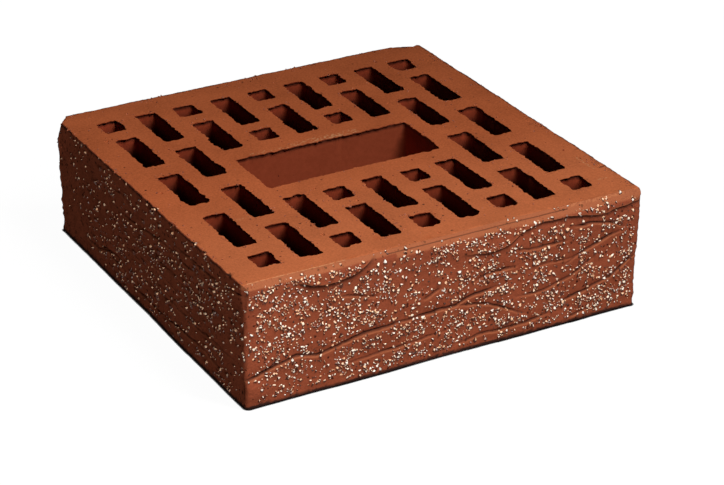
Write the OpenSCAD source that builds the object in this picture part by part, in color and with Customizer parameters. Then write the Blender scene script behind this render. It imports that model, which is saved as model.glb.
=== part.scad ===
// Square perforated pier brick: one piece of wire-cut, fired clay.
// It lies on its bed face, and the origin is the centre of that face.
// Y runs along the columns of holes, X across them and Z up.
// The front is the face at -Y.

/* [Brick] */
// Length of the brick along X
brick_l = 240; // [190:1:300]
// Width of the brick along Y
brick_w = 240; // [190:1:300]
// Height between the two bed faces
brick_h = 71; // [50:1:140]
// Radius of the four upright corners
corner_r = 3; // [1:0.5:8]

/* [Front upper edge] */
// How far the sloped band goes back into the upper bed face
band_depth = 3; // [1:0.5:5]
// How far the sloped band comes down the front face
band_drop = 4.5; // [2:0.5:10]

/* [Perforations] */
// Clay between the outermost holes and the side faces
outer_wall = 17; // [12:0.5:26]
// Width of the slots and of the small holes along X
slot_w = 13.5; // [8:0.5:18]
// Length of the small holes along Y
small_l = 15.5; // [10:0.5:22]
// Clay between an outer small hole and the slot behind it
small_web = 10.5; // [6:0.5:16]
// Clay between an outer slot and the slot behind it
slot_web = 11.5; // [6:0.5:18]
// Clay between the two middle slots that meet at the centre line
middle_web = 15.5; // [8:0.5:24]
// Clay between an outer slot and the small hole behind it
inner_web = 9; // [6:0.5:16]
// Width of the hand hole along Y
hand_w = 42; // [30:0.5:52]
// Radius of the corners of every hole
hole_r = 2.2; // [1:0.1:4]

/* [Hidden] */
$fn = 48;

// Columns of holes on each side of the middle column
side_columns = 4;
// Columns on each side of the middle that the hand hole interrupts
hand_columns = 2;
// Spacing of the columns, with the outer ones against the outer wall
column_step = (brick_l - 2 * outer_wall - slot_w) / (2 * side_columns);
// Outer end of the outermost holes along Y
row_end = brick_w / 2 - outer_wall;
// Four slots and the three webs between them fill a column
slots_in_column = 4;
slot_l = (2 * row_end - 2 * slot_web - middle_web) / slots_in_column;
// The hand hole ends flush with the columns that it interrupts
hand_l = 2 * hand_columns * column_step + slot_w;

// Distance of a hole's centre from the middle, for each place in a half column
small_outer_y = row_end - small_l / 2;
slot_inner_y = row_end - small_l - small_web - slot_l / 2;
slot_outer_y = row_end - slot_l / 2;
slot_middle_y = middle_web / 2 + slot_l / 2;
small_inner_y = row_end - slot_l - inner_web - small_l / 2;

// Rectangle with round corners, centred
module round_rect(l, w, r) {
    square([l - 2 * r, w], center = true);
    square([l, w - 2 * r], center = true);
    for (sx = [-1, 1], sy = [-1, 1])
        translate([sx * (l / 2 - r), sy * (w / 2 - r)]) circle(r);
}

module slot() round_rect(slot_w, slot_l, hole_r);

module small_hole() round_rect(slot_w, small_l, hole_r);

// The same hole on both sides of the middle line
module pair(y) {
    for (side = [-1, 1]) translate([0, side * y]) children();
}

// Column that starts with a small hole at each end
module small_first_column(beside_hand) {
    pair(small_outer_y) small_hole();
    pair(slot_inner_y) slot();
    if (!beside_hand) slot();
}

// Column that starts with a slot at each end
module slot_first_column(beside_hand) {
    pair(slot_outer_y) slot();
    if (beside_hand) pair(small_inner_y) small_hole();
    else pair(slot_middle_y) slot();
}

// The two kinds of column take turns, so that the webs are staggered
module perforations() {
    for (column = [-side_columns : side_columns])
        translate([column * column_step, 0])
            if (column % 2 == 0) small_first_column(abs(column) <= hand_columns);
            else slot_first_column(abs(column) <= hand_columns);
    round_rect(hand_l, hand_w, hole_r);
}

// Wedge outside the sloped band, drawn as its section seen along X
module front_band_cut() {
    front = -brick_w / 2;
    rotate([90, 0, 90])
        linear_extrude(brick_l + 2 * band_drop, center = true)
            polygon([
                [front + 2 * band_depth, brick_h + band_drop],
                [front - band_depth, brick_h - 2 * band_drop],
                [front - band_depth, brick_h + band_drop]
            ]);
}

module brick() {
    color("sienna")
        difference() {
            linear_extrude(brick_h)
                difference() {
                    round_rect(brick_l, brick_w, corner_r);
                    perforations();
                }
            front_band_cut();
        }
}

brick();
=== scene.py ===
"""Looks of a square perforated pier brick: bark-faced fired clay with grit fired into its sides."""
import math

import bmesh
import bpy
import numpy as np
from mathutils import Matrix, Vector
from mathutils.geometry import delaunay_2d_cdt


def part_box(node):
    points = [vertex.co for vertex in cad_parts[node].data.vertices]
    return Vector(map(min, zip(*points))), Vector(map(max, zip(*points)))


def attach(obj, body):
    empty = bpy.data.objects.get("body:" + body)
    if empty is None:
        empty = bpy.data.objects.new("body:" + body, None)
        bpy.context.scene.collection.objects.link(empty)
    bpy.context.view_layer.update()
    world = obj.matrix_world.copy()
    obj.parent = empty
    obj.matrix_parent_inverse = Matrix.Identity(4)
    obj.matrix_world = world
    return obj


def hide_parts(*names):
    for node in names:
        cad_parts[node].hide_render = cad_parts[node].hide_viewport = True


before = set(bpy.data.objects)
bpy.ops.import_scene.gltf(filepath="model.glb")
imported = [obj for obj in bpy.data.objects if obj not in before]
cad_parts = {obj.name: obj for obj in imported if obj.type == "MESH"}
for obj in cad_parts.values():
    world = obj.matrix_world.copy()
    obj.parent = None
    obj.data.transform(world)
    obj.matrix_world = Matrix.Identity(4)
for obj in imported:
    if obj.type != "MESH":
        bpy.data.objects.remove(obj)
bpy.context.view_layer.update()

MM = 0.001

# Sizes of the brick, from the frame, in mm
LOW, HIGH = (np.array(corner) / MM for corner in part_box("brick"))
LENGTH, WIDTH, HEIGHT = HIGH - LOW
FRONT = LOW[1]

# Camera: angles in degrees, lengths in mm, aimed at a point of the upper bed face
VIEW_AZIMUTH = -29.33
VIEW_ELEVATION = 26.72
VIEW_ROLL = 0.23
VIEW_DISTANCE = 1303.0
VIEW_AIM = (-42.4, -103.1)
PHOTO_WIDTH_PX = 724
FOCAL_PX = 2495.0
SENSOR_MM = 36.0
NEAREST_SEEN = 50.0

# Spacing of the mesh's points, in mm
OUTLINE_SAMPLE = 0.1
FRONT_STEP = 0.45
LEFT_STEP = 0.6
HIDDEN_STEP = 1.0
ROW_STEP = 0.45
RIM_STEP = 0.6
BED_STEP = 2.4
UNDERSIDE_STEP = 6.0
BRICK_TRIANGLES = 190000

# Rows of points close to the foot and to the upper edge, as distances from them in mm
FOOT_ROWS = [0, 0.15, 0.35]
TOP_ROWS = np.array([1.2, 0.8, 0.5, 0.25, 0.1, 0])
TOP_ROWS_REACH = 1.4

# Rings of points just inside the bed's edges, apart from its front, as distances from them in mm
EDGE_RINGS = (0.6, 1.2)

# Loose grid of the bed faces: seeds, and shares of its spacing
BED_SEED = 61
UNDERSIDE_SEED = 60
GRID_JITTER = 0.3
PIT_CLEARANCE = 0.5
EDGE_CLEARANCE = 0.55
PIT_RINGS = (0.0, 0.5, 1.0)
PIT_POINTS = 8
BATCH = 2000

# Distances in mm: points this close lie on a face, points this far from the front are off its edge
TOUCH = 0.01
OFF_FRONT = 6
CORNER_SIDE = 4

# Faces of the brick: outward direction, and the direction that u runs along, left to right seen from outside
FACES = {
    "front": ((0, -1), (1, 0)),
    "right": ((1, 0), (0, 1)),
    "back": ((0, 1), (-1, 0)),
    "left": ((-1, 0), (0, -1)),
}
FOLD_SEEDS = {"front": 20, "right": 30, "back": 40, "left": 50}

# How squarely a point has to look a face's way to have none or all of that face's relief
FACE_SHARE = (0.35, 0.95)

# Which side of a fold's line stands out of the face
LOWER = 1
UPPER = -1

# Bark folds of the front face: depth, side that stands out, points (u from the left end, height), in mm
FRONT_FOLDS = [
    (3.0, UPPER, [(31, 66), (42, 61.5), (54, 60), (64, 62.5), (72, 66.5), (78, 70)]),
    (2.0, LOWER, [
        (-4, 17), (14, 21), (30, 24.5), (42, 21), (51, 23),
        (70, 27.5), (98, 28.5), (123, 29), (139, 32.5), (156, 34.5),
    ]),
    (2.0, LOWER, [(126, 28.5), (144, 26), (155, 20.5), (172, 12.5)]),
    (1.5, LOWER, [(136, 40), (144, 43), (165, 43.5)]),
    (1.8, UPPER, [
        (129, 57.5), (144, 55.5), (157, 56.5), (166, 62),
        (176, 65), (194, 65), (210, 62), (221, 61), (246, 66),
    ]),
    (1.4, LOWER, [(164, 53), (176, 51), (198, 51)]),
    (1.7, LOWER, [(199, 58), (210, 58.5), (222, 55.5), (234, 50.5)]),
    (1.4, LOWER, [(191, 35), (202, 40.5), (219, 46), (234, 50)]),
    (1.4, LOWER, [(162, 24.5), (181, 24.5), (200, 29.5), (214, 36.5)]),
    (1.5, LOWER, [(191, 13), (208, 18), (226, 23), (246, 36)]),
    (1.4, LOWER, [(126, 5), (139, 7.5), (171, 7), (187, 9.5)]),
    (1.2, LOWER, [(50, 11), (64, 12.5), (90, 14), (107, 14), (122, 16.5)]),
    (1.1, LOWER, [(176, 39.5), (203, 40)]),
    (1.1, LOWER, [(105, 38), (117, 42)]),
    (1.0, LOWER, [(55, 52.5), (67, 49.5), (80, 46)]),
    (1.1, LOWER, [(198, 3.5), (211, 6)]),
]

# Folds of the other faces are drawn at random: how many, and the depths they range over
OTHER_FOLDS = {"right": (15, 0.5, 1.3), "back": (15, 0.5, 1.3), "left": (12, 0.3, 0.9)}
FOLD_STARTS = (-15, 190)
FOLD_LENGTHS = (35, 120)
FOLD_LOWEST = 4
FOLD_RANGE = 62
FOLD_RISE = 9
FOLD_SWAY = 1.8
FOLD_POINTS = 6

# A fold along its line, in mm: how the line is smoothed and wavers, and how its strength varies and tapers
FOLD_SAMPLE = 0.5
FOLD_WINDOW = 15
FOLD_APART = 9.0
FOLD_WAVER = [(0.22, 3.0, 0), (0.55, 9.0, 1)]
FOLD_STRENGTH = 0.85
FOLD_UNEVEN = [(0.45, 11.0, 2)]
FOLD_TAPER = 14.0
FOLD_TAPER_SHARE = 0.2
FOLD_TAPER_POWER = 0.7

# A fold across its line, in mm: a thin crevice, the lip on one side and the recess on the other
CREVICE_REACH = 0.24
CREVICE_WIDENS = 0.12
CREVICE_DEPTH = 0.6
CREVICE_FULL = 1.4
UNDERCUT_REACH = 2.6
LIP_RISE = 0.72
LIP_REACH = 3.2
LIP_ROUND = 0.65
# Painted highlight on each lip: how far its crest lies from the crevice and how wide it is, in mm
LIP_CREST = 0.845
LIP_HIGHLIGHT_WIDTH = 0.45
RECESS_DEPTH = 0.5
RECESS_REACH = 2.6

# Lumps of the bark faces, finer towards the end: strength in mm, cell in mm and seed
BARK_LUMPS = [
    (0.75, (48, 48, 26), 1),
    (0.22, (20, 20, 6), 2),
    (0.09, (16, 16, 1.7), 5),
    (0.16, (6, 6, 4), 3),
    (0.10, 2.4, 4),
]
SKIN_INSET = 0.2

# Where the bark is calmer and its folds fade, near the upper edge and the foot, in mm and as shares
CALM_EDGE = 0.30
CALM_TOP = (0.5, 5.0)
CALM_FOOT = (-2.0, 4.0)
FOLD_AT_TOP = 0.45
FOLD_TOP_REACH = 3.0

# Ledge that stands out at the lower left end of the front, in mm
LEDGE_PLACE = 3
LEDGE_REACH = 10
LEDGE_RISE = 2.2
LEDGE_TOP = (18.0, 12.5)
LEDGE_FOOT = (0.5, 9.0)

# How far two faces stand out of true, in mm: at the foot, and at the top of their left and right ends
LEAN = {"right": (1.7, 3.6, 2.2), "back": (0.6, 3.6, 2.4)}

# Sloped band of the front: how softly the face bends into it, as a share of its height
BAND_SOFTNESS = 0.2

# Where along the front the band widens from its least to its whole height, in mm, and how its edge wavers
BAND_WIDENS = (-80, -15)
BAND_LEAST = 0.5
BAND_WAVER = [(0.4, 8.0, 12)]

# Where the band starts below its edge, in mm, and how much smoother, fold-free and crisper it is
BAND_START = (1.5, -1.0)
BAND_CALM = 0.75
BAND_PLAIN = 0.6
BAND_CRISP = 0.6

# Worn edges of the bed faces, in mm: radius and how it varies, and the share of it at the foot
EDGE_RADIUS = 0.5
EDGE_WEAR = [(0.35, 9.0, 6)]
FOOT_ROUND = 0.6

# Raggedness of the upper edge and of the upright ones, in mm, and how much less of it the front has
EDGE_RAGGED = [(0.40, 1.8, 7), (0.40, 6.0, 8)]
RAGGED_REACH = 1.3
FRONT_CRISP = 0.8
UPRIGHT_RAGGED = [(0.40, 1.8, 9), (0.45, 5.0, 10)]
UPRIGHT_EDGE = (0.99, 0.85)

# Radius of the solid's upright corners, and how far the sharper real ones stand out of it, in mm
CORNER_RADIUS = 3.0
CORNER_FILL = 0.35

# Rows of a hole's wall, as depths in mm: the ragged lip, how far it overhangs there, and the wall below
LIP_DEPTHS = np.array([0.0, 0.35, 0.7, 1.1])
LIP_HANG = np.array([1.0, 1.0, 0.7, 0.0])
LIP_POINTS = 2
DEEP_DEPTHS = np.array([3.0, 12.0, 40.0, HEIGHT - 1.2, HEIGHT])
DEEP_CORNER = 4.2
WALL_LUMPS = [(0.15, (14, 14, 50), 31)]

# Raggedness of the rims, in mm: teeth all round, a burr on the far side, bites, and wear on the near side
RIM_SIDE = (0.5, 0.95)
TEETH_REACH = 0.22
TEETH_LUMPS = [(0.70, 1.4, 32), (0.40, 4.5, 33)]
TEETH_LEAST = -0.2
BURR_REACH = 0.60
BURR_LUMPS = [(0.6, 3.0, 35)]
BITE_DEPTH = 1.0
BITE_LUMPS = [(1.0, 6.5, 34)]
BITE_CHANCE = (0.40, 0.8)
BITE_FADES = 9
RIM_WEAR = 0.35
RIM_WEAR_DEPTH = 0.6

# Upper bed: its lumps in mm, and its pits by place and radius in mm
BED_LUMPS = [(0.22, 38.0, 40), (0.05, 5.0, 41)]
BED_PITS = [
    (-107, 78, 1.3), (-109, 1, 1.2), (-33, -33, 1.1), (-56, -85, 1.4), (-20, -58, 1.0), (60, 48, 1.0),
    (66, 8, 0.8), (117, -17, 1.0), (88, -68, 1.1), (119, -85, 1.2), (124, -106, 1.0), (8, -92, 1.2),
    (-1, -112, 1.1), (-15, -88, 0.9), (40, -88, 0.8), (70, 22, 0.8), (-64, -20, 0.7), (95, 35, 0.8),
]
PIT_DEPTH = 0.9

# Broken corners: a point on the break and the direction that it faces, and the roughness of the breaks
BREAKS = [
    ((-120, 113.0, 71), (-0.75, 0.55, 0.32)),
    ((122, 118.0, 71), (0.22, 0.86, 0.62)),
    ((-118.3, -118.3, 71), (-0.85, -0.50, 0.06)),
]
BREAK_LUMPS = [(0.5, 3.5, 50), (0.25, 1.4, 51)]

# Chips along the left upper edge: distance from the back end, reach and depth, in mm
LEFT_CHIPS = [
    (40, 1.8, 0.8), (88, 1.8, 0.8), (133, 2.2, 1.1),
    (181, 2.6, 1.4), (193, 2.2, 1.2), (222, 2.6, 1.2),
]
CHIP_SHAPE = np.array([0.8, 1.0, 0.8])
CHIP_WAY = np.array([0.6, 0, -0.7])

# Kinds of surface, in the order of their finishes
SIDE, BED, HAND, SLOT = range(4)
SHARP_ANGLE = 50

# Mottling of the clay: noises by lumps in a metre, and how much each adds to the tone and the relief
PATCH_NOISE = {"Scale": 32, "Detail": 3, "Roughness": 0.55}
FLECK_NOISE = {"Scale": 800, "Detail": 4, "Roughness": 0.65}
GRAIN_NOISE = {"Scale": 2400, "Detail": 2, "Roughness": 0.6}
PATCH_TONE, FLECK_TONE, GRAIN_TONE = 0.5, 0.8, 0.4
TONE_SCALE = 0.588
TONE_STOPS = [(0.36, (0, 0, 0)), (0.64, (1, 1, 1))]
FLECK_RELIEF, GRAIN_RELIEF, PIT_RELIEF = 0.7, 0.3, 0.8

# Small pits in the clay, darkened with painted shade: cells in a metre, how the cells are bent, and sizes as
# shares of a cell
PIT_CELLS = 420
PIT_BEND = 1.6 * MM
BEND_NOISE = {"Scale": 1100, "Detail": 1}
PIT_SIZES = {"To Min": 0.10, "To Max": 0.44}
PIT_SOFTNESS = 0.5
PIT_SHADE_COLOUR = (0.055, 0.014, 0.009)
SHADE_COLOUR = (0.032, 0.014, 0.011)
CLAY_ROUGHNESS = 0.9

# Specks that pale dust and the painted crease shade are broken into
SPECK_DETAIL = 2
SPECK_EDGE = 0.12

# Pale dust: middle of each patch, half sizes, edge, size of its specks, cover and strength, in mm
BAND_DUST = [
    ((50, -118.5, 69.6), (80, 2.5, 2.4), 1.5, 1.5, 0.75, 0.28),
    ((-75, -118.5, 70.4), (60, 2.5, 1.2), 1.2, 1.5, 0.75, 0.30),
    ((95, -117.5, 70.4), (18, 0.6, 0.6), 1.2, 1.5, 0.60, 0.5),
]
BED_DUST = [
    ((0, -119, 71), (125, 30, 3), 90.0, 12.0, 0.80, 0.08),
    ((-88, -116.6, 71), (28, 0.3, 2), 0.9, 1.5, 0.62, 0.7),
    ((4, 22.8, 71), (19, 1.0, 2), 3.5, 1.3, 0.50, 0.7),
    ((-30, 22.5, 71), (14, 0.8, 2), 2.0, 1.2, 0.45, 0.6),
    ((115, -77, 71), (0.3, 9, 2), 1.0, 1.0, 0.50, 0.7),
    ((111, -98, 71), (4, 0.3, 2), 1.0, 1.0, 0.50, 0.6),
    ((-88, -48, 71), (8, 0.4, 2), 1.5, 1.5, 0.50, 0.4),
]

# Painted shade in the crease along the front edge of the bed, in the same form
BAND_CREASE_SHADE = [((20, -118.2, 69.2), (56, 2.0, 0.08), 0.34, 4.0, 0.80, 0.60)]

# Clay finishes: colours, share of pits, stretch of the flecks, relief in mm, and dust, painted crease shade
# or painted shade by depth
CLAYS = {
    "bark_clay": {
        "light": (0.292, 0.0690, 0.0318),
        "dark": (0.199, 0.0470, 0.0217),
        "pits": 0.25,
        "stretch": (1, 1, 1.6),
        "bump": 0.5,
        "dust": BAND_DUST,
        "dust_and_highlight_colour": (0.60, 0.225, 0.095),
        "crease_shade": BAND_CREASE_SHADE,
    },
    "wire_cut_clay": {
        "light": (0.573, 0.1445, 0.0511),
        "dark": (0.341, 0.0826, 0.0287),
        "pits": 0.022,
        "stretch": (1, 1, 1),
        "bump": 0.2,
        "dust": BED_DUST,
        "dust_and_highlight_colour": (0.62, 0.31, 0.15),
        "crease_shade": BAND_CREASE_SHADE,
    },
    "hand_hole_clay": {
        "light": (0.43, 0.085, 0.036),
        "dark": (0.33, 0.064, 0.0265),
        "pits": 0.02,
        "stretch": (0.5, 0.5, 0.5),
        "bump": 0.1,
    },
    "slot_clay": {
        "light": (0.42, 0.0705, 0.0295),
        "dark": (0.325, 0.0535, 0.0225),
        "pits": 0.02,
        "stretch": (0.5, 0.5, 0.5),
        "bump": 0.1,
        "deep": (2.0, 14.0, 0.96),
    },
}

# Painted shade of the clay: strengths, and reaches in mm, in the crevices, along the foot and under the upper
# edges, and the strength of the painted highlight on the folds' lips
CREVICE_SHADE = 0.95
LIP_HIGHLIGHT_STRENGTH = 0.28
FOLD_SIDE = 5
SHADED_SIDE = 4
FOOT_LINE = (2.0, 1.4)
BROW_SHADE = 0.95
BROW_REACH = (1.5, 0.8)
BROW_TOP = 0.3
BROW_LUMPS = [(1.0, 3.0, 91)]
BROW_BREAKS = (-0.9, -0.1)
RIM_LINE = 0.9

# Painted shade on the turn of the right front edge, and under the rims of the holes
TURN_SHADE = 0.6
TURN_FACING = (0.45, 0.75)
TURN_REACH = (3.5, 2)
TURN_TOP = 3
UNDER_LIP = (0.6, 1.3)
UNDER_LIP_REACH = 1.5
FAR_RIM = 2.0
FAR_RIM_SHADE = 0.85
RIM_SHADE = 0.6

# Stones to scatter: how many shapes, and how each is made
STONE_SHAPES = 8
STONE_CORNERS = 9
STONE_SEED = 70
STONE_SQUASH = (0.7, 1.2)
STONE_ROUGHNESS = 0.5
STONE_GLOSS = 0.1
CLOUD_NOISE = {"Scale": 1500, "Detail": 2}
CLOUD_COLOUR = (0.5, 0.35, 0.25)
CLOUDS = 0.15

# Tones of the stones, each by its place in the range
GRIT_TONES = [
    (0.00, (0.99, 0.91, 0.79)),
    (0.15, (0.98, 0.81, 0.61)),
    (0.30, (0.94, 0.58, 0.35)),
    (0.45, (0.80, 0.42, 0.22)),
    (0.55, (0.46, 0.36, 0.34)),
    (0.62, (0.42, 0.17, 0.09)),
    (0.70, (0.05, 0.025, 0.02)),
]
# Tones of the painted shadows: dark stones under the grains
GRAIN_SHADOW_TONES = [(0.0, (0.09, 0.025, 0.014)), (1.0, (0.045, 0.013, 0.008))]
CRUMB_TONES = [(0.0, (0.40, 0.10, 0.04)), (0.5, (0.24, 0.055, 0.025)), (1.0, (0.12, 0.03, 0.015))]

# Scattered stones: number to a square metre, spacing, sizes in mm, and how they sink, drop and swell
GRIT = {"Density": 0.86e6, "Spacing": 0.94 * MM, "Smallest": 0.47, "Largest": 1.06, "Seed": 5}
GRAINS = {**GRIT, "Sink": 0.05, "Drop": 0.0, "Swell": 1.0}
# Painted shadows under the grains: larger dark stones at the grains' points, sunk deeper and dropped lower
GRAIN_SHADOWS = {**GRIT, "Sink": 0.6, "Drop": 0.5, "Swell": 1.75}
CRUMBS = {
    "Density": 0.55e6, "Spacing": 0.9 * MM, "Smallest": 0.28, "Largest": 0.9, "Seed": 8,
    "Sink": 0.05, "Drop": 0.0, "Swell": 1.0,
}

# Seeds of each stone's own size, turn, shape and tone
SIZE_SEED, TURN_SEED, SHAPE_SEED, TONE_SEED = 1, 2, 3, 4

# Small stones are commoner and large ones paler, and pale tones are commoner than dark ones
SIZE_POWER = 1.7
LARGE_TONES = 0.4
TONE_POWER = 1.4

# Grit of the left face: warmer, and by its warmth smaller, prouder and closer in tone
LEFT_WARMTH = 0.25
WARM_SIZE = -0.5
WARM_SINK = -1.5
WARM_TONES = -2.0
LEFT_REACH = (6, 3)
LEFT_FRONT = 3

# Where the grit lies, in mm and as shares: in clusters on the sides, thinner on the left and towards its back
GRIT_SIDE = (6.0, 3.5)
GRIT_UPRIGHT = (0.75, 0.9)
CLUSTER_MIDDLE = 0.5
CLUSTER_LUMPS = [(0.45, (5, 5, 4.5), 80), (0.20, 24.0, 81)]
CLUSTER_RANGE = (0.2, 1.0)
CLUSTER_LEAST = 0.20
LEFT_BARE = 0.68
LEFT_BACK_BARE = 0.29
LEFT_BACK = (10, 115)

# Where the grit is thin or missing: the band, the foot, the right front edge and the ledge, in mm and shares
GRIT_FRONT = (6, 4)
GRIT_BAND = 4.0
GRIT_BAND_EDGE = (0.6, -1.0)
GRIT_BAND_BARE = 0.85
GRIT_TOP = (0.3, 3.0)
GRIT_FOOT = (2.6, 4.0)
GRIT_CORNER = (7, 4)
GRIT_CORNER_WIDTH = 2.0
LEDGE_BARE = 0.7
LEDGE_ALONG = (-98, -116)
LEDGE_UPPER = (18, 14)
LEDGE_LOWER = (4, 7)
CREVICE_CLEARANCE = 0.2

# Knots of grit on the left upper edge: distance from the back end and reach, and their depth, in mm
EDGE_KNOTS = [(60, 1.6), (134, 2.6), (183, 3.0), (196, 2.0)]
KNOT_DEPTH = 0.5

# Where loose crumbs lie: round the rims and along the worn upper edges, in mm and as shares
CRUMB_UP = (0.3, 0.6)
CRUMB_DEPTH = 1.5
CRUMB_RIM = 1.2
CRUMB_EDGE = (3.0, 1.0)
CRUMB_FRONT = 5
CRUMB_PATCHES = [(1.0, 9.0, 90)]
CRUMB_RANGE = (-0.1, 0.7)
CRUMB_LEAST = 0.02

# Floor: half its size in metres, what it shows the camera, what it gives the brick, and the painted contact
# shade along the line of contact
FLOOR_REACH = 4.0
FLOOR_SHOWN = (0.05, 0.05, 0.05)
FLOOR_BOUNCE = (0.12, 0.12, 0.12)
FLOOR_GLOW = 0.14
FLOOR_WHITE = {"From Min": 0.15, "From Max": 0.38, "To Min": 0.972, "To Max": 1.0}
CONTACT_REACH = 1.4
CONTACT_SAMPLES = 8
CONTACT_POWER = 12.0

# Light: strength all round, and lamps by place, aim and size in mm and power in watts
WORLD_LIGHT = 0.004
LAMPS = {
    "key": {"place": (260, -600, 1000), "aim": (-721, -1232, 71), "width": 820, "height": 260, "power": 24.2},
    "front": {"place": (-460, -1520, 50), "aim": (-40, -120, 35), "width": 300, "height": 80, "power": 12.5},
}

# Noise

LATTICE = 64


def noise(points, cell, seed):
    """Smooth noise from -1 to 1 with lumps about one cell wide. A cell may differ along each axis."""
    values = np.random.default_rng(seed).uniform(-1, 1, (LATTICE,) * 3)
    place = np.asarray(points, float) / cell
    base = np.floor(place).astype(int)
    part = place - base
    part = part * part * (3 - 2 * part)
    total = np.zeros(place.shape[:-1])
    for corner in np.ndindex(2, 2, 2):
        weight = np.prod(np.where(corner, part, 1 - part), axis=-1)
        spot = (base + corner) % LATTICE
        total += weight * values[spot[..., 0], spot[..., 1], spot[..., 2]]
    return total


def ease(value, start, end):
    """Smooth step from 0 at start to 1 at end."""
    t = np.clip((value - start) / (end - start), 0, 1)
    return t * t * (3 - 2 * t)


def lumps(points, layers, seed=0):
    """Sum of layers of noise. Each has a strength, a cell and a seed, which counts from the given one."""
    return sum(strength * noise(points, cell, seed + number) for strength, cell, number in layers)


# Outlines


def bed_outlines(height):
    """Closed outlines of the flat bed face at that height, in mm: the outer edge first, then the holes."""
    shell = bmesh.new()
    shell.from_mesh(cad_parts["brick"].data)
    near = TOUCH * MM
    bmesh.ops.remove_doubles(shell, verts=shell.verts, dist=0.1 * near)
    level = height * MM
    flat = {f for f in shell.faces if all(abs(v.co.z - level) < near for v in f.verts)}
    following = {}
    for face in flat:
        for loop in face.loops:
            if sum(other in flat for other in loop.edge.link_faces) == 1:
                following[loop.vert.index] = loop.link_loop_next.vert.index
    places = {v.index: (v.co.x / MM, v.co.y / MM) for v in shell.verts}
    shell.free()
    outlines = []
    while following:
        start = min(following)
        chain = [start]
        while following[chain[-1]] != start:
            chain.append(following[chain[-1]])
        for index in chain:
            del following[index]
        outlines.append(np.array([places[i] for i in chain]))
    outlines.sort(key=lambda line: -np.ptp(line[:, 0]) * np.ptp(line[:, 1]))
    return [line if turning(line) > 0 else line[::-1] for line in outlines]


def turning(line):
    """Signed area of a closed line, positive when it runs anticlockwise."""
    after = np.roll(line, -1, axis=0)
    return np.sum(line[:, 0] * after[:, 1] - after[:, 0] * line[:, 1]) / 2


def resample(line, step, multiple=1):
    """Points along a closed line, about one step apart. The step may depend on the place."""
    closed = np.vstack([line, line[:1]])
    along = np.concatenate([[0], np.cumsum(np.linalg.norm(np.diff(closed, axis=0), axis=1))])
    fine = np.arange(0, along[-1], OUTLINE_SAMPLE)
    dense = np.stack([np.interp(fine, along, closed[:, k]) for k in (0, 1)], axis=1)
    steps = step(dense) if callable(step) else np.full(len(dense), step)
    count = np.concatenate([[0], np.cumsum(OUTLINE_SAMPLE / steps)])[:-1]
    number = multiple * round(count[-1] / multiple)
    places = np.interp(np.linspace(0, count[-1], number, endpoint=False), count, fine)
    return np.stack([np.interp(places, along, closed[:, k]) for k in (0, 1)], axis=1)


def side_step(places):
    """Spacing of the points round the outer edge: closest on the front, then on the left."""
    front = places[:, 1] < FRONT + CORNER_SIDE
    left = places[:, 0] < LOW[0] + CORNER_SIDE
    return np.select([front, left], [FRONT_STEP, LEFT_STEP], HIDDEN_STEP)


def inside(points, line):
    """Which points lie inside a closed line."""
    ends = np.roll(line, -1, axis=0)
    x, y = points[:, :1], points[:, 1:]
    rise = np.where(ends[:, 1] == line[:, 1], 1, ends[:, 1] - line[:, 1])
    crossed = line[:, 0] + (y - line[:, 1]) / rise * (ends[:, 0] - line[:, 0])
    facing = ((line[:, 1] > y) != (ends[:, 1] > y)) & (x < crossed)
    return facing.sum(axis=1) % 2 == 1


def in_holes(points, holes):
    """Which points lie inside one of the holes' outlines."""
    found = np.zeros(len(points), bool)
    for line in holes:
        close = np.flatnonzero(((points >= line.min(axis=0)) & (points <= line.max(axis=0))).all(axis=1))
        found[close] = inside(points[close], line)
    return found


def outward(line):
    """Unit directions that point out of an anticlockwise closed line."""
    along = np.roll(line, -1, axis=0) - np.roll(line, 1, axis=0)
    along /= np.maximum(np.linalg.norm(along, axis=1, keepdims=True), 1e-9)
    return np.stack([along[:, 1], -along[:, 0]], axis=1)


# Relief of the sides


def random_folds(face, count, shallow, deep):
    """Folds for a side or back face, drawn at random in the style of the front's."""
    draw = np.random.default_rng(sum(map(ord, face)))
    folds = []
    for row in range(count):
        start = draw.uniform(*FOLD_STARTS)
        reach = draw.uniform(*FOLD_LENGTHS)
        height = FOLD_LOWEST + FOLD_RANGE * (row + draw.uniform(0, 1)) / count
        rise = draw.uniform(-FOLD_RISE, FOLD_RISE)
        steps = np.linspace(0, 1, FOLD_POINTS)
        sway = draw.uniform(-FOLD_SWAY, FOLD_SWAY, len(steps))
        points = list(zip(start + reach * steps, height + rise * steps + sway))
        folds.append((draw.uniform(shallow, deep), LOWER, points))
    return folds


def fold_line(points, u, index, seed):
    """Height in mm of one fold's wavering line at places u, and how strong the fold is there."""
    us, zs = np.array(points, float).T
    fine = np.arange(us[0], us[-1], FOLD_SAMPLE)
    window = np.hanning(FOLD_WINDOW)
    line = np.interp(fine, us, zs)
    line = np.convolve(np.pad(line, FOLD_WINDOW // 2, mode="edge"), window / window.sum(), mode="valid")
    spots = np.stack([u, np.full_like(u, FOLD_APART * index), np.zeros_like(u)], axis=-1)
    height = np.interp(u, fine, line) + lumps(spots, FOLD_WAVER, seed)
    taper = min(FOLD_TAPER, FOLD_TAPER_SHARE * (us[-1] - us[0]))
    strength = np.clip(np.minimum(u - us[0], us[-1] - u) / taper, 0, 1) ** FOLD_TAPER_POWER
    return height, strength * (FOLD_STRENGTH + lumps(spots, FOLD_UNEVEN, seed))


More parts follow.
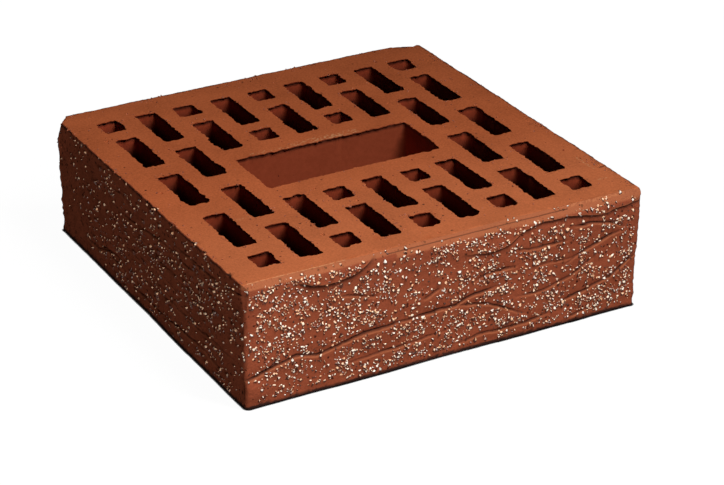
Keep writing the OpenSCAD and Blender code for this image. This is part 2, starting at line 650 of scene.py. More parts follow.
def fold_relief(folds, u, z, seed):
    """Relief in mm of a face's folds at places u and z, their painted shade and the painted highlight on
    their lips, from 0 to 1.
    """
    relief = np.zeros(np.broadcast(u, z).shape)
    shade = np.zeros(relief.shape)
    lip_highlight = np.zeros(relief.shape)
    for index, (depth, side, points) in enumerate(folds):
        height, strength = fold_line(points, u, index, seed)
        strength = depth * strength
        off = side * (z - height)
        reach = CREVICE_REACH + CREVICE_WIDENS * depth
        crevice = np.exp(-(off / reach) ** 2)
        recess = RECESS_DEPTH * np.exp(-np.maximum(off, 0) / RECESS_REACH) * ease(off, -reach, reach)
        ahead = np.maximum(-off, 0)
        lip = LIP_RISE * (1 - np.exp(-ahead / LIP_ROUND)) * np.exp(-ahead / LIP_REACH)
        relief += strength * (lip - recess - CREVICE_DEPTH * crevice)
        full = np.clip(strength / CREVICE_FULL, 0, 1)
        dark_reach = np.where((off > 0) & (side == UPPER), UNDERCUT_REACH * reach, reach)
        shade = np.maximum(shade, full * np.exp(-(off / dark_reach) ** 2))
        crest = np.exp(-((ahead - LIP_CREST) / LIP_HIGHLIGHT_WIDTH) ** 2) * (off < 0)
        lip_highlight = np.maximum(lip_highlight, full * crest)
    return relief, shade, lip_highlight


def face_folds(face):
    """Folds of one face."""
    return FRONT_FOLDS if face == "front" else random_folds(face, *OTHER_FOLDS[face])


def face_place(face, places):
    """Distance along a face of points in plan, from its left end, in mm."""
    out, along = FACES[face]
    half = LENGTH / 2 if out[0] == 0 else WIDTH / 2
    return (places - (LOW + HIGH)[:2] / 2) @ np.array(along, float) + half


def band_reach(x, most):
    """How far the sloped band comes down the front face: least at its left end, in mm."""
    spots = np.stack([x, 0 * x, 0 * x], axis=-1)
    return most * (BAND_LEAST + (1 - BAND_LEAST) * ease(x, *BAND_WIDENS)) + lumps(spots, BAND_WAVER)


def standing_out(face, u, height):
    """How far a face that is out of true stands out at a place along it and a height, in mm."""
    foot, top_start, top_end = LEAN[face]
    top = top_start + (top_end - top_start) * u / WIDTH
    return foot + (top - foot) * height / HEIGHT


def face_forms(edge, normal, rows):
    """Folds and ledge of the bark faces, and how far the faces stand out of true, in mm."""
    forms = np.zeros((len(edge), len(rows)))
    lean = np.zeros(forms.shape)
    for face, (out, _) in FACES.items():
        share = ease(normal @ np.array(out, float), *FACE_SHARE)[:, None]
        used = share[:, 0] > 0
        u = face_place(face, edge[used])[:, None]
        folds, *_ = fold_relief(face_folds(face), u, rows[None, :], FOLD_SEEDS[face])
        forms[used] += share[used] * folds
        if face in LEAN:
            lean[used] += share[used] * standing_out(face, u, rows[None, :])
        if face == "front":
            upright = ease(rows, *LEDGE_TOP) * ease(rows, *LEDGE_FOOT)
            swell = LEDGE_RISE * np.exp(-((u - LEDGE_PLACE) / LEDGE_REACH) ** 2)
            forms[used] += share[used] * swell * upright[None, :]
    return forms, lean


def side_skin(edge, rows, band_depth, band_low):
    """Points of the four bark faces: one row of the outer edge for each height."""
    normal = outward(edge)
    from_top = HEIGHT - rows
    base = np.zeros((len(edge), len(rows), 3))
    base[..., :2] = edge[:, None, :]
    base[..., 2] = rows
    drop = band_reach(edge[:, 0], HEIGHT - band_low)[:, None]
    rise = 1 - from_top[None, :] / drop
    bend = (rise + np.hypot(rise, BAND_SOFTNESS)) / (1 + math.hypot(1, BAND_SOFTNESS))
    base[..., 1] = np.maximum(base[..., 1], FRONT + band_depth * bend)
    on_front = ease(-normal[:, 1], *FACE_SHARE)
    band = on_front[:, None] * ease(from_top[None, :], drop + BAND_START[0], drop + BAND_START[1])
    calm = CALM_EDGE + (1 - CALM_EDGE) * ease(from_top, *CALM_TOP) * ease(rows, *CALM_FOOT)
    calm = calm[None, :] * (1 - BAND_CALM * band)
    fade = FOLD_AT_TOP + (1 - FOLD_AT_TOP) * ease(from_top, 0, FOLD_TOP_REACH)
    fade = fade[None, :] * (1 - BAND_PLAIN * band)
    forms, lean = face_forms(edge, normal, rows)
    relief = forms * fade + lean + calm * lumps(base, BARK_LUMPS) - SKIN_INSET
    radius = EDGE_RADIUS + lumps(base[:, -1], EDGE_WEAR)
    rounding = edge_round(from_top, radius) + FOOT_ROUND * edge_round(rows, radius)
    relief -= rounding * (1 - BAND_CRISP * band)
    ragged = lumps(base[:, -1], EDGE_RAGGED) * (1 - FRONT_CRISP * on_front)
    relief += ragged[:, None] * np.exp(-from_top / RAGGED_REACH)[None, :]
    facing = np.abs(normal).max(axis=1)
    relief += np.minimum(CORNER_RADIUS * (1 / facing - 1), CORNER_FILL)[:, None]
    relief += ease(facing, *UPRIGHT_EDGE)[:, None] * lumps(base, UPRIGHT_RAGGED)
    points = base.copy()
    points[..., :2] += relief[..., None] * normal[:, None, :]
    return points


def edge_round(distance, radius):
    """How far a worn edge stands back, at a distance from the bed face."""
    left = np.clip(1 - distance[None, :] / radius[:, None], 0, 1)
    return radius[:, None] * (1 - np.sqrt(1 - left * left))


# Holes


def round_corners(outline, radius):
    """Outline of a hole with rounder corners: what lies outside the larger arcs comes in onto them."""
    middle = (outline.max(axis=0) + outline.min(axis=0)) / 2
    core = np.ptp(outline, axis=0) / 2 - radius
    off = outline - middle
    over = np.maximum(np.abs(off) - core, 0)
    reach = np.linalg.norm(over, axis=1)
    beyond = (over > 0).all(axis=1) & (reach > radius)
    arc = np.sign(off) * (core + over * (radius / np.maximum(reach, radius))[:, None])
    return np.where(beyond[:, None], middle + arc, outline)


def hole_wall(outline):
    """Points of one hole's wall: rows of its ragged upper lip, and coarser rows of the plain wall below."""
    into = -outward(outline)
    lip = np.zeros((len(outline), len(LIP_DEPTHS), 3))
    lip[..., :2] = outline[:, None, :]
    lip[..., 2] = HEIGHT - LIP_DEPTHS
    rim = lip[:, 0]
    far = ease(-into[:, 1], *RIM_SIDE)
    near = ease(into[:, 1], *RIM_SIDE)
    teeth = np.maximum(TEETH_REACH + lumps(rim, TEETH_LUMPS), TEETH_LEAST)
    burr = far * (BURR_REACH + lumps(rim, BURR_LUMPS))
    bites = -BITE_DEPTH * ease(lumps(rim, BITE_LUMPS), *BITE_CHANCE)
    wear_and_lip_highlight = -RIM_WEAR * np.clip(1 - LIP_DEPTHS / RIM_WEAR_DEPTH, 0, 1)
    push = (teeth + burr)[:, None] * LIP_HANG + bites[:, None] + near[:, None] * wear_and_lip_highlight
    lip[..., :2] += push[..., None] * into[:, None, :]
    into = into[::LIP_POINTS]
    deep = np.zeros((len(into), len(DEEP_DEPTHS), 3))
    deep[..., :2] = round_corners(outline, DEEP_CORNER)[::LIP_POINTS, None, :]
    deep[..., 2] = HEIGHT - DEEP_DEPTHS
    fading = np.clip(1 - DEEP_DEPTHS / BITE_FADES, 0, 1)
    drag = lumps(deep, WALL_LUMPS) + bites[::LIP_POINTS, None] * fading
    deep[..., :2] += drag[..., None] * into[:, None, :]
    return lip, deep


def lip_strip(lip_row, deep_row):
    """Triangles between a lip's last row and the coarser row under it, from the numbers of their points."""
    first = lip_row[::LIP_POINTS]
    middle = lip_row[1::LIP_POINTS]
    last = np.roll(first, -1)
    right = np.roll(deep_row, -1)
    return np.concatenate([
        np.stack([first, middle, deep_row], axis=-1),
        np.stack([middle, right, deep_row], axis=-1),
        np.stack([middle, last, right], axis=-1),
    ])


# Bed faces


def bed_points(outlines, step, seed, pits=()):
    """Inner points of a bed face: a loose grid that keeps clear of the outlines, and rings in its pits."""
    draw = np.random.default_rng(seed)
    across = np.arange(LOW[0], HIGH[0], step)
    grid = np.stack(np.meshgrid(across, across), axis=-1).reshape(-1, 2)
    grid = grid + draw.uniform(-GRID_JITTER, GRID_JITTER, grid.shape) * step
    whole = 2 * math.pi
    rings = [
        (x + share * radius * math.cos(turn), y + share * radius * math.sin(turn))
        for x, y, radius in pits
        for share in PIT_RINGS
        for turn in np.arange(0, whole, whole / PIT_POINTS if share else whole)
    ]
    for x, y, radius in pits:
        grid = grid[np.hypot(grid[:, 0] - x, grid[:, 1] - y) > radius + PIT_CLEARANCE * step]
    points = np.vstack([grid, np.array(rings).reshape(-1, 2)])
    edge = np.vstack(outlines)
    keep = np.ones(len(points), bool)
    for start in range(0, len(points), BATCH):
        part = points[start:start + BATCH]
        gap = np.linalg.norm(part[:, None, :] - edge[None, :, :], axis=2).min(axis=1)
        keep[start:start + BATCH] = gap > EDGE_CLEARANCE * min(step, BED_STEP)
    return points[keep & ~in_holes(points, outlines[1:])]


def edge_rings(outline, rim):
    """Points just inside a bed face's edge, apart from its front: by the drawn and by the real rim."""
    behind = outline[:, 1] > FRONT + OFF_FRONT
    into = -outward(outline)
    drawn = [(outline + ring * into)[behind][::2] for ring in EDGE_RINGS]
    placed = [(rim + ring * into)[behind][::2] for ring in EDGE_RINGS]
    return np.vstack(drawn), np.vstack(placed)


def fill_bed(outlines, inner):
    """Triangles that fill a bed face between its outlines, by numbers of outline points, then inner ones."""
    points = np.vstack([*outlines, inner])
    edges = []
    start = 0
    for line in outlines:
        count = len(line)
        edges += [(start + k, start + (k + 1) % count) for k in range(count)]
        start += count
    found = delaunay_2d_cdt([Vector(p) for p in points], edges, [], 1, 1e-6)
    source = np.array([ids[0] for ids in found[3]])
    triangles = source[np.array(found[2])]
    return triangles[~in_holes(points[triangles].mean(axis=1), outlines[1:])]


def bed_relief(places):
    """Unevenness of the wire-cut upper bed in mm, with its pits."""
    flat = np.column_stack([places[:, :2], np.zeros(len(places))])
    rise = lumps(flat, BED_LUMPS)
    for x, y, radius in BED_PITS:
        off = np.hypot(places[:, 0] - x, places[:, 1] - y)
        rise -= PIT_DEPTH * radius * np.clip(1 - (off / radius) ** 2, 0, 1)
    return rise


# Damage


def break_corners(points):
    """Flattens what stands outside each broken corner onto its rough break."""
    for place, facing in BREAKS:
        facing = np.array(facing) / np.linalg.norm(facing)
        over = (points - np.array(place)) @ facing - lumps(points, BREAK_LUMPS)
        points = points - np.maximum(over, 0)[:, None] * facing
    return points


def chip_edge(points):
    """Small bites out of the left upper edge."""
    for back, reach, depth in LEFT_CHIPS:
        centre = np.array([LOW[0], HIGH[1] - back, HEIGHT])
        near = np.linalg.norm((points - centre) / CHIP_SHAPE, axis=1)
        bite = depth * np.clip(1 - (near / reach) ** 2, 0, 1)
        points = points + bite[:, None] * CHIP_WAY
    return points


# The brick's mesh


def grid_triangles(numbers):
    """Triangles of a closed band of points, from their numbers in columns and rows."""
    after = np.roll(numbers, -1, axis=0)
    a, b, c, d = numbers[:, :-1], after[:, :-1], after[:, 1:], numbers[:, 1:]
    return np.concatenate([np.stack([a, b, c], -1).reshape(-1, 3), np.stack([a, c, d], -1).reshape(-1, 3)])


def mesh_from(name, points, triangles, kinds, finishes):
    """Plain mesh from points in mm, with one of the finishes for each triangle."""
    mesh = bpy.data.meshes.new(name)
    for finish in finishes:
        mesh.materials.append(finish)
    mesh.vertices.add(len(points))
    mesh.vertices.foreach_set("co", (points * MM).astype(np.float32).ravel())
    mesh.loops.add(triangles.size)
    mesh.loops.foreach_set("vertex_index", triangles.astype(np.int32).ravel())
    mesh.polygons.add(len(triangles))
    mesh.polygons.foreach_set("loop_start", np.arange(0, triangles.size, 3, dtype=np.int32))
    mesh.polygons.foreach_set("material_index", kinds.astype(np.int32))
    mesh.update(calc_edges=True)
    mesh.validate()
    return mesh


def build_brick(finishes):
    """One watertight mesh of the whole brick, thinned where it is flat."""
    floor_outlines = bed_outlines(0.0)
    top_outlines = bed_outlines(HEIGHT)
    band_depth = top_outlines[0][:, 1].min() - FRONT
    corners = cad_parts["brick"].data.vertices
    band_low = max(v.co.z / MM for v in corners if v.co.y / MM < FRONT + TOUCH)
    edge = resample(floor_outlines[0], side_step)
    rows = np.arange(0, HEIGHT - TOP_ROWS_REACH, ROW_STEP)
    rows = np.concatenate([FOOT_ROWS, rows[1:], HEIGHT - TOP_ROWS])
    skin = side_skin(edge, rows, band_depth, band_low)
    holes = [resample(line, RIM_STEP, LIP_POINTS) for line in top_outlines[1:]]
    walls = [hole_wall(line) for line in holes]
    grids = [skin, *(grid for wall in walls for grid in wall)]
    sizes = [grid.shape[0] * grid.shape[1] for grid in grids]
    starts = np.concatenate([[0], np.cumsum(sizes)])
    numbers = [
        first + np.arange(size).reshape(grid.shape[:2])
        for first, size, grid in zip(starts, sizes, grids)
    ]
    lips, deeps = numbers[1::2], numbers[2::2]
    parts = [(grid_triangles(numbers[0]), SIDE)]
    for index, (lip, deep) in enumerate(zip(lips, deeps)):
        strip = lip_strip(lip[:, -1], deep[:, 0])
        kind = SLOT if index else HAND
        parts += [(grid_triangles(lip), kind), (strip, kind), (grid_triangles(deep), kind)]
    points = [grid.reshape(-1, 3) for grid in grids]
    count = starts[-1]
    for upper in (True, False):
        if upper:
            rims = [np.maximum(edge, (LOW[0], FRONT + band_depth)), *holes]
            rim_numbers = [numbers[0][:, -1], *(lip[:, 0] for lip in lips)]
            drawn, placed = edge_rings(rims[0], skin[:, -1, :2])
            spread = bed_points(rims, BED_STEP, BED_SEED, BED_PITS)
            inner = np.vstack([spread, drawn])
            final = np.vstack([spread, placed])
        else:
            rims = [edge, *(line[::LIP_POINTS] for line in holes)]
            rim_numbers = [numbers[0][:, 0], *(deep[:, -1] for deep in deeps)]
            inner = final = bed_points(rims, UNDERSIDE_STEP, UNDERSIDE_SEED)
        rim_numbers.append(count + np.arange(len(inner)))
        filled = np.concatenate(rim_numbers)[fill_bed(rims, inner)]
        parts.append((filled if upper else filled[:, ::-1], BED))
        points.append(np.column_stack([final, np.full(len(final), HEIGHT if upper else 0.0)]))
        count += len(inner)
    points = np.vstack(points)
    triangles = np.vstack([t for t, kind in parts])
    kinds = np.concatenate([np.full(len(t), kind) for t, kind in parts])
    on_top = points[:, 2] > HEIGHT - TOUCH
    points[on_top, 2] += bed_relief(points[on_top])
    points = chip_edge(break_corners(points))
    mesh = mesh_from("brick_dense", points, triangles, kinds, finishes)
    return thin_out(mesh, sizes[0], BRICK_TRIANGLES)


def thin_out(mesh, count, wanted):
    """Mesh with about the wanted number of triangles. Only its first points are thinned, most where flat."""
    dense = bpy.data.objects.new("dense", mesh)
    bpy.context.scene.collection.objects.link(dense)
    dense.vertex_groups.new(name="sides").add(range(count), 1.0, "REPLACE")
    thinning = dense.modifiers.new("thinning", "DECIMATE")
    thinning.vertex_group = "sides"
    thinning.ratio = wanted / len(mesh.polygons)
    bpy.context.view_layer.update()
    result = bpy.data.meshes.new_from_object(dense.evaluated_get(bpy.context.evaluated_depsgraph_get()))
    bpy.data.objects.remove(dense)
    bpy.data.meshes.remove(mesh)
    return result


def mesh_normals(mesh):
    """Outward directions at a mesh's points."""
    normals = np.zeros(len(mesh.vertices) * 3, np.float32)
    mesh.vertex_normals.foreach_get("vector", normals)
    return normals.reshape(-1, 3).astype(float)


def mesh_points(mesh):
    """Points of a mesh, in mm."""
    places = np.zeros(len(mesh.vertices) * 3, np.float32)
    mesh.vertices.foreach_get("co", places)
    return places.reshape(-1, 3).astype(float) / MM


# Node helpers


def wire(tree, kind, values=None, **settings):
    """New node with its settings, and its inputs by name as values or as links from other sockets."""
    node = tree.nodes.new(kind)
    for name, value in settings.items():
        setattr(node, name, value)
    for name, value in (values or {}).items():
        socket = node.inputs[name]
        if isinstance(value, bpy.types.NodeSocket):
            tree.links.new(value, socket)
        else:
            socket.default_value = value
    return node


def shades(tree, factor, stops):
    """Colour ramp with the given stops."""
    ramp = wire(tree, "ShaderNodeValToRGB", {"Fac": factor})
    while len(ramp.color_ramp.elements) < len(stops):
        ramp.color_ramp.elements.new(0.5)
    for element, (place, colour) in zip(ramp.color_ramp.elements, stops):
        element.position = place
        element.color = (*colour, 1) if len(colour) == 3 else colour
    return ramp.outputs["Color"]


def mix(tree, factor, first, second, how="MIX"):
    """Colour mix of two colours or sockets."""
    node = tree.nodes.new("ShaderNodeMix")
    node.data_type = "RGBA"
    node.blend_type = how
    for socket, value in zip((node.inputs[0], node.inputs[6], node.inputs[7]), (factor, first, second)):
        if isinstance(value, bpy.types.NodeSocket):
            tree.links.new(value, socket)
        elif socket.type == "RGBA":
            socket.default_value = (*value, 1)
        else:
            socket.default_value = value
    return node.outputs[2]


def sums(tree, how, *values):
    """Maths node on two or three values or sockets."""
    return wire(tree, "ShaderNodeMath", dict(enumerate(values)), operation=how).outputs[0]


def vectors(tree, how, *values):
    """Maths node on one or two vectors or sockets."""
    return wire(tree, "ShaderNodeVectorMath", dict(enumerate(values)), operation=how).outputs[0]


def object_place(tree):
    """Object coordinates."""
    return tree.nodes.new("ShaderNodeTexCoord").outputs["Object"]


def new_group(name, kind, inputs, outputs):
    """Node group with named inputs and outputs, and the sockets that give its inputs."""
    tree = bpy.data.node_groups.new(name, kind)
    for way, sockets in (("INPUT", inputs), ("OUTPUT", outputs)):
        for socket, sort in sockets.items():
            tree.interface.new_socket(socket, in_out=way, socket_type="NodeSocket" + sort)
    return tree, tree.nodes.new("NodeGroupInput").outputs


def new_material(name):
    """Material and its empty node tree."""
    material = bpy.data.materials.new(name)
    material.use_nodes = True
    material.node_tree.nodes.clear()
    return material, material.node_tree


def seen_rays(tree):
    """1 for rays that show the background to the camera, straight or by gloss or glass, and 0 for others."""
    path = tree.nodes.new("ShaderNodeLightPath").outputs
    passed_on = sums(tree, "MAXIMUM", path["Is Glossy Ray"], path["Is Transmission Ray"])
    return sums(tree, "MAXIMUM", path["Is Camera Ray"], passed_on)


# Materials


def clay_group():
    """Mottled fired clay: patches, fine grain and small pits darkened with painted shade, from two colours.
    """
    inputs = {
        "Light": "Color", "Dark": "Color", "Pits": "Float", "Stretch": "Vector",
        "Shade": "Float", "Dust And Lip Highlight": "Float", "Dust Color": "Color",
    }
    outputs = {"Color": "Color", "Height": "Float"}
    tree, given = new_group("fired_clay_mottle", "ShaderNodeTree", inputs, outputs)
    place = object_place(tree)
    drawn = vectors(tree, "MULTIPLY", place, given["Stretch"])
    patch = wire(tree, "ShaderNodeTexNoise", {"Vector": place, **PATCH_NOISE}).outputs["Fac"]
    fleck = wire(tree, "ShaderNodeTexNoise", {"Vector": drawn, **FLECK_NOISE}).outputs["Fac"]
    grain = wire(tree, "ShaderNodeTexNoise", {"Vector": place, **GRAIN_NOISE}).outputs["Fac"]
    bend = wire(tree, "ShaderNodeTexNoise", {"Vector": place, **BEND_NOISE}).outputs["Color"]
    bent = vectors(tree, "ADD", place, vectors(tree, "MULTIPLY", bend, (PIT_BEND,) * 3))
    cells = wire(tree, "ShaderNodeTexVoronoi", {"Vector": bent, "Scale": PIT_CELLS}).outputs
    chance = wire(tree, "ShaderNodeSeparateColor", {"Color": cells["Color"]}).outputs
    lucky = sums(tree, "LESS_THAN", chance[0], given["Pits"])
    size = wire(tree, "ShaderNodeMapRange", {"Value": chance[1], **PIT_SIZES}).outputs[0]
    spot = wire(tree, "ShaderNodeMapRange", {
        "Value": cells["Distance"], "From Min": size, "From Max": sums(tree, "MULTIPLY", size, PIT_SOFTNESS),
    }).outputs[0]
    pit = sums(tree, "MULTIPLY", lucky, spot)
    flecks = sums(tree, "MULTIPLY", fleck, FLECK_TONE)
    tone = sums(tree, "ADD", sums(tree, "MULTIPLY", patch, PATCH_TONE), flecks)
    tone = sums(tree, "ADD", tone, sums(tree, "MULTIPLY", grain, GRAIN_TONE))
    tone = shades(tree, sums(tree, "MULTIPLY", tone, TONE_SCALE), TONE_STOPS)
    colour = mix(tree, tone, given["Dark"], given["Light"])
    # Painted shade in the pits
    colour = mix(tree, pit, colour, PIT_SHADE_COLOUR)
    # The dust input also carries the painted highlight on the folds' lips
    colour = mix(tree, given["Dust And Lip Highlight"], colour, given["Dust Color"])
    colour = mix(tree, given["Shade"], colour, SHADE_COLOUR)
    grains = sums(tree, "MULTIPLY", grain, GRAIN_RELIEF)
    height = sums(tree, "ADD", sums(tree, "MULTIPLY", fleck, FLECK_RELIEF), grains)
    height = sums(tree, "SUBTRACT", height, sums(tree, "MULTIPLY", pit, PIT_RELIEF))
    wire(tree, "NodeGroupOutput", {"Color": colour, "Height": height})
    return tree


def soft_box_group():
    """Mask of a box with soft edges, broken up by noise."""
    inputs = {"Center": "Vector", "Half": "Vector", "Edge": "Float", "Grain": "Float", "Cover": "Float"}
    tree, given = new_group("soft_box", "ShaderNodeTree", inputs, {"Mask": "Float"})
    place = object_place(tree)
    off = vectors(tree, "ABSOLUTE", vectors(tree, "SUBTRACT", place, given["Center"]))
    axes = wire(tree, "ShaderNodeSeparateXYZ", {0: vectors(tree, "SUBTRACT", off, given["Half"])}).outputs
    gap = sums(tree, "MAXIMUM", axes[0], sums(tree, "MAXIMUM", axes[1], axes[2]))
    box = wire(tree, "ShaderNodeMapRange", {
        "Value": gap, "From Min": given["Edge"], "From Max": 0.0,
    }, interpolation_type="SMOOTHSTEP").outputs[0]
    specks = {"Vector": place, "Scale": given["Grain"], "Detail": SPECK_DETAIL}
    speck = wire(tree, "ShaderNodeTexNoise", specks).outputs["Fac"]
    gate = sums(tree, "SUBTRACT", 1.0, given["Cover"])
    broken = wire(tree, "ShaderNodeMapRange", {
        "Value": speck, "From Min": gate, "From Max": sums(tree, "ADD", gate, SPECK_EDGE),
    }).outputs[0]
    wire(tree, "NodeGroupOutput", {"Mask": sums(tree, "MULTIPLY", box, broken)})
    return tree


def dust_and_shade_mask(tree, group, patches):
    """Largest of several soft boxes, each as strong as it says."""
    most = None
    for centre, half, edge, grain, cover, strength in patches:
        box = wire(tree, "ShaderNodeGroup", node_tree=group)
        box.inputs["Center"].default_value = Vector(centre) * MM
        box.inputs["Half"].default_value = Vector(half) * MM
        box.inputs["Edge"].default_value = edge * MM
        box.inputs["Grain"].default_value = 1 / (grain * MM)
        box.inputs["Cover"].default_value = cover
        value = sums(tree, "MULTIPLY", box.outputs["Mask"], strength)
        most = value if most is None else sums(tree, "MAXIMUM", most, value)
    return most


def hole_depth(tree, start, end, most):
    """Shade that grows from one depth to another below the nearer bed, in mm."""
    height = wire(tree, "ShaderNodeSeparateXYZ", {0: object_place(tree)}).outputs["Z"]
    depth = sums(tree, "MINIMUM", height, sums(tree, "SUBTRACT", HEIGHT * MM, height))
    return wire(tree, "ShaderNodeMapRange", {
        "Value": depth, "From Min": start * MM, "From Max": end * MM, "To Max": most,
    }, interpolation_type="SMOOTHSTEP").outputs[0]


def clay_material(name, groups, light, dark, pits, stretch, bump,
                  dust=(), dust_and_highlight_colour=(1, 1, 1), crease_shade=(), deep=None):
    """Clay finish from the mottled clay group."""
    material, tree = new_material(name)
    clay = wire(tree, "ShaderNodeGroup", node_tree=groups["clay"])
    clay.inputs["Light"].default_value = (*light, 1)
    clay.inputs["Dark"].default_value = (*dark, 1)
    clay.inputs["Pits"].default_value = pits
    clay.inputs["Stretch"].default_value = stretch
    clay.inputs["Dust Color"].default_value = (*dust_and_highlight_colour, 1)
    shade = wire(tree, "ShaderNodeAttribute", attribute_name="shade").outputs["Fac"]
    # Painted shade in the crease along the front edge of the bed
    if crease_shade:
        shade = sums(tree, "MAXIMUM", shade, dust_and_shade_mask(tree, groups["box"], crease_shade))
    if deep:
        shade = sums(tree, "MAXIMUM", shade, hole_depth(tree, *deep))
    tree.links.new(shade, clay.inputs["Shade"])
    if dust:
        # Painted highlight on the folds' lips, mixed in with the dust
        lip_highlight = wire(tree, "ShaderNodeAttribute", attribute_name="lip_highlight").outputs["Fac"]
        pale = sums(tree, "MAXIMUM", lip_highlight, dust_and_shade_mask(tree, groups["box"], dust))
        tree.links.new(pale, clay.inputs["Dust And Lip Highlight"])
    relief = wire(tree, "ShaderNodeBump", {
        "Height": clay.outputs["Height"], "Strength": 1.0, "Distance": bump * MM,
    })
    shader = wire(tree, "ShaderNodeBsdfPrincipled", {
        "Base Color": clay.outputs["Color"],
        "Roughness": CLAY_ROUGHNESS,
        "Specular IOR Level": 0.0,
        "Normal": relief.outputs["Normal"],
    })
    wire(tree, "ShaderNodeOutputMaterial", {"Surface": shader.outputs[0]})
    return material


def stone_material(name, tones, clouds):
    """Small stones, each with a tone of its own out of a range, and paler clouds."""
    material, tree = new_material(name)
    tone = wire(tree, "ShaderNodeAttribute", attribute_name="tone").outputs["Fac"]
    colour = shades(tree, tone, tones)
    cloud = wire(tree, "ShaderNodeTexNoise", {"Vector": object_place(tree), **CLOUD_NOISE}).outputs["Fac"]
    colour = mix(tree, cloud, colour, mix(tree, clouds, colour, CLOUD_COLOUR))
    shader = wire(tree, "ShaderNodeBsdfPrincipled", {
        "Base Color": colour,
        "Roughness": STONE_ROUGHNESS,
        "Specular IOR Level": STONE_GLOSS,
    })
    wire(tree, "ShaderNodeOutputMaterial", {"Surface": shader.outputs[0]})
    return material


# Grit


def stone_collection():
    """Hidden collection of small angular stones, about 1 mm in radius, to scatter."""
    stones = bpy.data.collections.new("stones")
    draw = np.random.default_rng(STONE_SEED)
    for number in range(STONE_SHAPES):
        shape = bmesh.new()
        corners = draw.normal(size=(STONE_CORNERS, 3))
        corners /= np.linalg.norm(corners, axis=1, keepdims=True)
        for corner in corners * draw.uniform(*STONE_SQUASH, 3) * MM:
            shape.verts.new(corner)
        hull = bmesh.ops.convex_hull(shape, input=shape.verts)
        bmesh.ops.delete(shape, geom=hull["geom_interior"], context="VERTS")
        mesh = bpy.data.meshes.new(f"stone_{number}")
        shape.to_mesh(mesh)
        shape.free()
        stones.objects.link(bpy.data.objects.new(f"stone_{number}", mesh))
    return stones


def scatter_tree():
    """Stones scattered over a surface as its attributes say, each with its own size, turn and tone."""
    inputs = {
        "Surface": "Geometry", "Density": "Float", "Spacing": "Float",
        "Smallest": "Float", "Largest": "Float", "Swell": "Float", "Sink": "Float", "Drop": "Float",
        "Seed": "Int", "Stones": "Collection", "Finish": "Material",
    }
    tree, given = new_group("scattered_grit", "GeometryNodeTree", inputs, {"Grit": "Geometry"})
    cover, warm = (
        wire(tree, "GeometryNodeInputNamedAttribute", {"Name": name}, data_type="FLOAT").outputs["Attribute"]
        for name in ("cover", "warm")
    )
    points = wire(tree, "GeometryNodeDistributePointsOnFaces", {
        "Mesh": given["Surface"], "Density Max": given["Density"], "Distance Min": given["Spacing"],
        "Density Factor": cover, "Seed": given["Seed"],
    }, distribute_method="POISSON").outputs
    chance, luck = (
        wire(tree, "FunctionNodeRandomValue", {"Seed": seed}, data_type="FLOAT").outputs[1]
        for seed in (SIZE_SEED, TONE_SEED)
    )
    turn = wire(tree, "FunctionNodeRandomValue", {"Seed": TURN_SEED}, data_type="FLOAT_VECTOR")
    turn.inputs["Max"].default_value = (2 * math.pi,) * 3
    which = wire(tree, "FunctionNodeRandomValue", {"Seed": SHAPE_SEED}, data_type="INT")
    which.inputs[5].default_value = STONE_SHAPES - 1
    size = wire(tree, "ShaderNodeMapRange", {
        "Value": sums(tree, "POWER", chance, SIZE_POWER),
        "To Min": given["Smallest"], "To Max": given["Largest"],
    }).outputs[0]
    size = sums(tree, "MULTIPLY", size, sums(tree, "MULTIPLY_ADD", warm, WARM_SIZE, 1.0))
    shapes = wire(tree, "GeometryNodeCollectionInfo", {
        "Collection": given["Stones"], "Separate Children": True, "Reset Children": True,
    }).outputs[0]
    depth = sums(tree, "MULTIPLY_ADD", warm, WARM_SINK, given["Sink"])
    sink = sums(tree, "MULTIPLY", sums(tree, "MULTIPLY", size, depth), -MM)
    drop = sums(tree, "MULTIPLY", sums(tree, "MULTIPLY", size, given["Drop"]), -MM)
    inwards = wire(tree, "ShaderNodeVectorMath", {0: points["Normal"], "Scale": sink}, operation="SCALE")
    down = wire(tree, "ShaderNodeCombineXYZ", {"Z": drop})
    moved = vectors(tree, "ADD", inwards.outputs[0], down.outputs[0])
    sunk = wire(tree, "GeometryNodeSetPosition", {"Geometry": points["Points"], "Offset": moved}).outputs[0]
    placed = wire(tree, "GeometryNodeInstanceOnPoints", {
        "Points": sunk, "Instance": shapes, "Pick Instance": True, "Instance Index": which.outputs[2],
        "Rotation": turn.outputs[0], "Scale": sums(tree, "MULTIPLY", size, given["Swell"]),
    }).outputs[0]
    by_size = {"Value": chance, "To Min": 1.0, "To Max": LARGE_TONES}
    paler = wire(tree, "ShaderNodeMapRange", by_size).outputs[0]
    own = sums(tree, "MULTIPLY", sums(tree, "POWER", luck, TONE_POWER), paler)
    closer = sums(tree, "MULTIPLY_ADD", warm, WARM_TONES, 1.0)
    toned = wire(tree, "GeometryNodeStoreNamedAttribute", {
        "Geometry": placed, "Name": "tone", "Value": sums(tree, "MULTIPLY_ADD", own, closer, warm),
    }, data_type="FLOAT", domain="INSTANCE").outputs[0]
    real = wire(tree, "GeometryNodeRealizeInstances", {"Geometry": toned}).outputs[0]
    finished = wire(tree, "GeometryNodeSetMaterial", {"Geometry": real, "Material": given["Finish"]})
    wire(tree, "NodeGroupOutput", {"Grit": finished.outputs[0]})
    return tree


def scatter(name, surface, cover, warm, tree, **values):
    """New piece of stones scattered over a surface, by its points' cover and warmth, as a plain mesh."""
    piece = bpy.data.objects.new(name, surface.copy())
    set_layer(piece.data, "cover", cover)
    set_layer(piece.data, "warm", warm)
    bpy.context.scene.collection.objects.link(piece)
    spread = piece.modifiers.new("spread", "NODES")
    spread.node_group = tree
    for item in tree.interface.items_tree:
        if item.name in values:
            spread[item.identifier] = values[item.name]
    bpy.context.view_layer.update()
    made = bpy.data.meshes.new_from_object(piece.evaluated_get(bpy.context.evaluated_depsgraph_get()))
    piece.modifiers.clear()
    piece.data = made
    return piece


